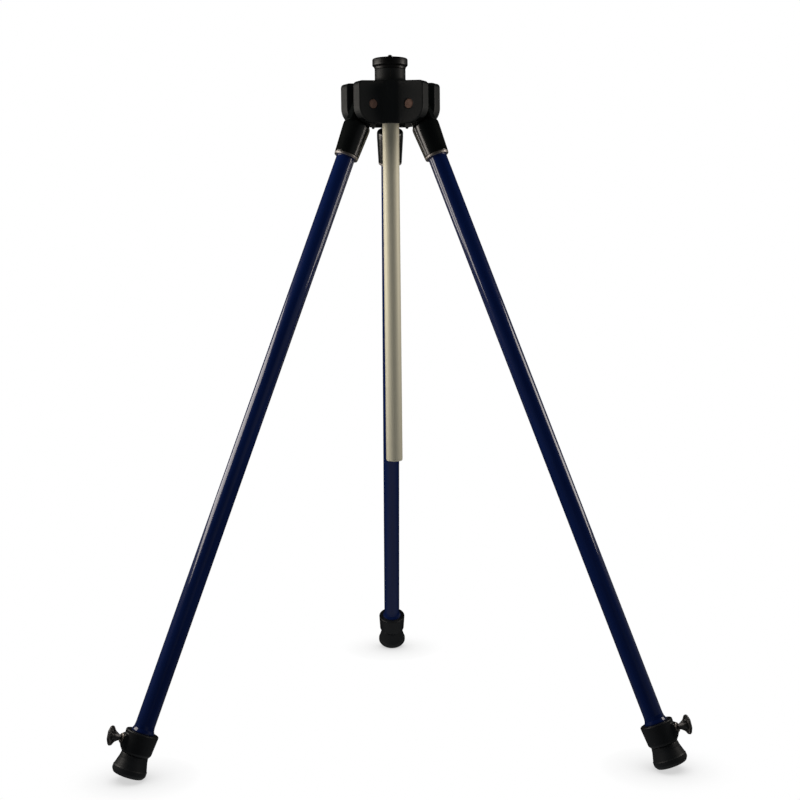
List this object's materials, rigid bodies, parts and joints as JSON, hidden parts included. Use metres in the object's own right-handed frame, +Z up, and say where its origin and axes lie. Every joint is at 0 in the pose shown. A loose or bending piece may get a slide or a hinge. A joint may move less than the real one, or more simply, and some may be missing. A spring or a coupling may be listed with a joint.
{
  "type": "instrument tripod",
  "caption": "Folding surveyor tripod: telescoping clamped legs hinged in a clevis head around an elevating centre column with a small instrument platform.",
  "frame": {"origin": "centre of the flat tip of the instrument stud, on the vertical axis of the column", "axes": "+Z up along the column; the front valley of the head faces -Y, the rear leg points to +Y, the left leg to azimuth 210 degrees and the right leg to 330 degrees"},
  "size_m": [0.7438, 0.652, 0.9374],
  "materials": {
    "head_plastic": "black glass-filled plastic, fine moulded grain, semi-gloss",
    "platform_plastic": "black turned plastic, smooth, semi-gloss",
    "knuckle_plastic": "black moulded plastic, semi-gloss",
    "collar_plastic": "black moulded plastic, satin",
    "navy_tube": "deep navy gloss coat on drawn aluminium tube",
    "inner_tube_aluminium": "clear anodised, satin",
    "column_aluminium": "satin anodised with a warm cream tone, fine lengthwise draw lines",
    "ferrule_metal": "light turned metal ring, satin",
    "bronze_pin": "dull copper-brown rivet, slightly tarnished",
    "foot_rubber": "matte black rubber",
    "wing_screw_metal": "dark zinc-plated casting",
    "stud_steel": "dark plated steel thread",
    "insert_metal": "plated threaded insert, light",
    "nylon": "natural nylon"
  },
  "bodies": {
    "head": {"head_casting": "head_plastic", "column_bushing_upper": "nylon", "column_bushing_lower": "head_plastic", "column_clamp_insert": "insert_metal", "pivot_pin_left": "bronze_pin", "pivot_washer_left_a": "nylon", "pivot_washer_left_b": "nylon", "pivot_pin_right": "bronze_pin", "pivot_washer_right_a": "nylon", "pivot_washer_right_b": "nylon", "pivot_pin_rear": "bronze_pin", "pivot_washer_rear_a": "nylon", "pivot_washer_rear_b": "nylon"},
    "column": {"centre_column": "column_aluminium", "platform": "platform_plastic", "instrument_stud": "stud_steel", "column_end_plug": "column_aluminium"},
    "column_clamp_shoe": {"column_clamp_pad": "nylon"},
    "column_clamp_screw": {"column_wing_screw": "wing_screw_metal"},
    "left_leg": {"knuckle_left": "knuckle_plastic", "leg_ferrule_left": "ferrule_metal", "outer_tube_left": "navy_tube", "clamp_collar_left": "collar_plastic", "clamp_insert_left": "insert_metal"},
    "left_inner_leg": {"inner_tube_left": "inner_tube_aluminium", "guide_cap_left": "nylon", "foot_left": "foot_rubber"},
    "left_clamp_shoe": {"clamp_pad_left": "nylon"},
    "left_clamp_screw": {"wing_screw_left": "wing_screw_metal"},
    "right_leg": {"knuckle_right": "knuckle_plastic", "leg_ferrule_right": "ferrule_metal", "outer_tube_right": "navy_tube", "clamp_collar_right": "collar_plastic", "clamp_insert_right": "insert_metal"},
    "right_inner_leg": {"inner_tube_right": "inner_tube_aluminium", "guide_cap_right": "nylon", "foot_right": "foot_rubber"},
    "right_clamp_shoe": {"clamp_pad_right": "nylon"},
    "right_clamp_screw": {"wing_screw_right": "wing_screw_metal"},
    "rear_leg": {"knuckle_rear": "knuckle_plastic", "leg_ferrule_rear": "ferrule_metal", "outer_tube_rear": "navy_tube", "clamp_collar_rear": "collar_plastic", "clamp_insert_rear": "insert_metal"},
    "rear_inner_leg": {"inner_tube_rear": "inner_tube_aluminium", "guide_cap_rear": "nylon", "foot_rear": "foot_rubber"},
    "rear_clamp_shoe": {"clamp_pad_rear": "nylon"},
    "rear_clamp_screw": {"wing_screw_rear": "wing_screw_metal"}
  },
  "joints": [
    {"name": "column_lift", "type": "slide", "parent": "head", "child": "column", "axis": [0, 0, 1], "range_m": [0, 0.42]},
    {"name": "column_clamp_travel", "type": "slide", "parent": "head", "child": "column_clamp_shoe", "axis": [0.866, 0.5, 0], "range_m": [0, 0.0021]},
    {"name": "column_clamp_turn", "type": "hinge", "parent": "column_clamp_shoe", "child": "column_clamp_screw", "pos_m": [0.02598, 0.015, -0.062], "axis": [0.866, 0.5, 0], "range_deg": [0, 720]},
    {"name": "left_leg_fold", "type": "hinge", "parent": "head", "child": "left_leg", "pos_m": [-0.03603, -0.0208, -0.07037], "axis": [0.5, -0.866, 0], "range_deg": [0, 23]},
    {"name": "left_leg_extend", "type": "slide", "parent": "left_leg", "child": "left_inner_leg", "axis": [-0.3356, -0.1938, -0.9219], "range_m": [0, 0.62]},
    {"name": "left_clamp_travel", "type": "slide", "parent": "left_leg", "child": "left_clamp_shoe", "axis": [-0.7984, -0.4609, 0.3875], "range_m": [0, 0.0021]},
    {"name": "left_clamp_turn", "type": "hinge", "parent": "left_clamp_shoe", "child": "left_clamp_screw", "pos_m": [-0.35044, -0.20233, -0.88243], "axis": [-0.7984, -0.4609, 0.3875], "range_deg": [0, 720]},
    {"name": "right_leg_fold", "type": "hinge", "parent": "head", "child": "right_leg", "pos_m": [0.03603, -0.0208, -0.07037], "axis": [0.5, 0.866, 0], "range_deg": [0, 23]},
    {"name": "right_leg_extend", "type": "slide", "parent": "right_leg", "child": "right_inner_leg", "axis": [0.3356, -0.1938, -0.9219], "range_m": [0, 0.62]},
    {"name": "right_clamp_travel", "type": "slide", "parent": "right_leg", "child": "right_clamp_shoe", "axis": [0.7984, -0.4609, 0.3875], "range_m": [0, 0.0021]},
    {"name": "right_clamp_turn", "type": "hinge", "parent": "right_clamp_shoe", "child": "right_clamp_screw", "pos_m": [0.35044, -0.20233, -0.88243], "axis": [0.7984, -0.4609, 0.3875], "range_deg": [0, 720]},
    {"name": "rear_leg_fold", "type": "hinge", "parent": "head", "child": "rear_leg", "pos_m": [0, 0.0416, -0.07037], "axis": [-1, 0, 0], "range_deg": [0, 23]},
    {"name": "rear_leg_extend", "type": "slide", "parent": "rear_leg", "child": "rear_inner_leg", "axis": [0, 0.3875, -0.9219], "range_m": [0, 0.62]},
    {"name": "rear_clamp_travel", "type": "slide", "parent": "rear_leg", "child": "rear_clamp_shoe", "axis": [0, 0.9219, 0.3875], "range_m": [0, 0.0021]},
    {"name": "rear_clamp_turn", "type": "hinge", "parent": "rear_clamp_shoe", "child": "rear_clamp_screw", "pos_m": [0, 0.40465, -0.88243], "axis": [0, 0.9219, 0.3875], "range_deg": [0, 720]}
  ],
  "couplings": [
    {"joint": "column_clamp_travel", "follows": "column_clamp_turn", "m_per_rad": 0.00015915},
    {"joint": "left_clamp_travel", "follows": "left_clamp_turn", "m_per_rad": 0.00015915},
    {"joint": "right_clamp_travel", "follows": "right_clamp_turn", "m_per_rad": 0.00015915},
    {"joint": "rear_clamp_travel", "follows": "rear_clamp_turn", "m_per_rad": 0.00015915}
  ]
}
